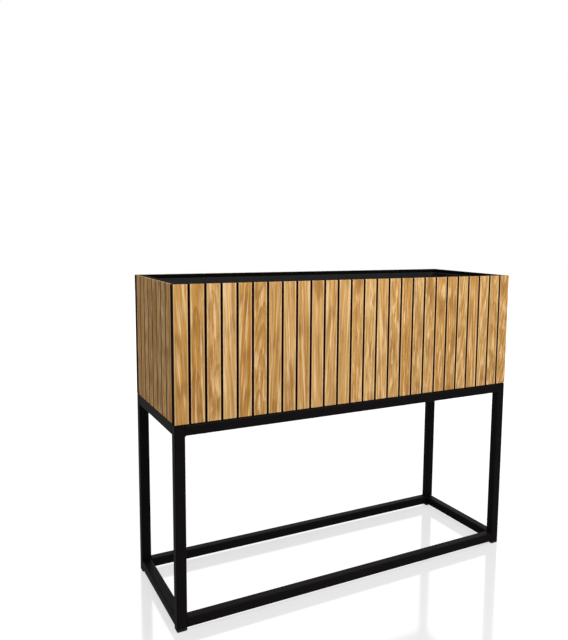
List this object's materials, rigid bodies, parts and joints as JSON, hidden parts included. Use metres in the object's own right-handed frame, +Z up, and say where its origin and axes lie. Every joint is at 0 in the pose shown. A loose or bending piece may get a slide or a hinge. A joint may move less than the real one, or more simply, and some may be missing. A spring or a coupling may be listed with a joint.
{
  "type": "plant stand",
  "caption": "Rectangular planter box clad in upright oak slats with black grooves, on a welded black square-tube stand with plastic glides, with a lift-out liner.",
  "frame": {"origin": "on the floor under the middle of the stand", "axes": "+X along the length, +Y towards the back, +Z up"},
  "size_m": [0.8, 0.28, 0.656],
  "materials": {
    "powder_coated_steel": "satin powder coat",
    "oak": "oiled oak",
    "black_board": "black through-dyed fibreboard, matt",
    "glide_plastic": "moulded",
    "liner_plastic": "moulded, fine texture",
    "zinc_plated_steel": "bright zinc"
  },
  "bodies": {
    "stand": {"back_panel": "black_board", "back_slats": "oak", "bottom_rail_back": "powder_coated_steel", "bottom_rail_front": "powder_coated_steel", "bottom_rail_left": "powder_coated_steel", "bottom_rail_right": "powder_coated_steel", "corner_screws": "zinc_plated_steel", "floor_panel": "black_board", "floor_screws": "zinc_plated_steel", "foot_glide_back_left": "glide_plastic", "foot_glide_back_right": "glide_plastic", "foot_glide_front_left": "glide_plastic", "foot_glide_front_right": "glide_plastic", "front_panel": "black_board", "front_slat_01": "oak", "front_slat_02": "oak", "front_slat_03": "oak", "front_slat_04": "oak", "front_slat_05": "oak", "front_slat_06": "oak", "front_slat_07": "oak", "front_slat_08": "oak", "front_slat_09": "oak", "front_slat_10": "oak", "front_slat_11": "oak", "front_slat_12": "oak", "front_slat_13": "oak", "front_slat_14": "oak", "front_slat_15": "oak", "front_slat_16": "oak", "front_slat_17": "oak", "front_slat_18": "oak", "front_slat_19": "oak", "front_slat_20": "oak", "front_slat_21": "oak", "front_slat_22": "oak", "front_slat_23": "oak", "front_slat_24": "oak", "front_slat_25": "oak", "front_slat_26": "oak", "left_end_panel": "black_board", "left_end_slats": "oak", "leg_back_left": "powder_coated_steel", "leg_back_right": "powder_coated_steel", "leg_front_left": "powder_coated_steel", "leg_front_right": "powder_coated_steel", "right_end_panel": "black_board", "right_end_slats": "oak", "stand_screws": "zinc_plated_steel", "top_rail_back": "powder_coated_steel", "top_rail_front": "powder_coated_steel", "top_rail_left": "powder_coated_steel", "top_rail_right": "powder_coated_steel", "weld_beads": "powder_coated_steel"},
    "liner": {"liner": "liner_plastic"}
  },
  "joints": [
    {"name": "liner_lift", "type": "slide", "parent": "stand", "child": "liner", "axis": [0, 0, 1], "range_m": [0, 0.3]}
  ]
}
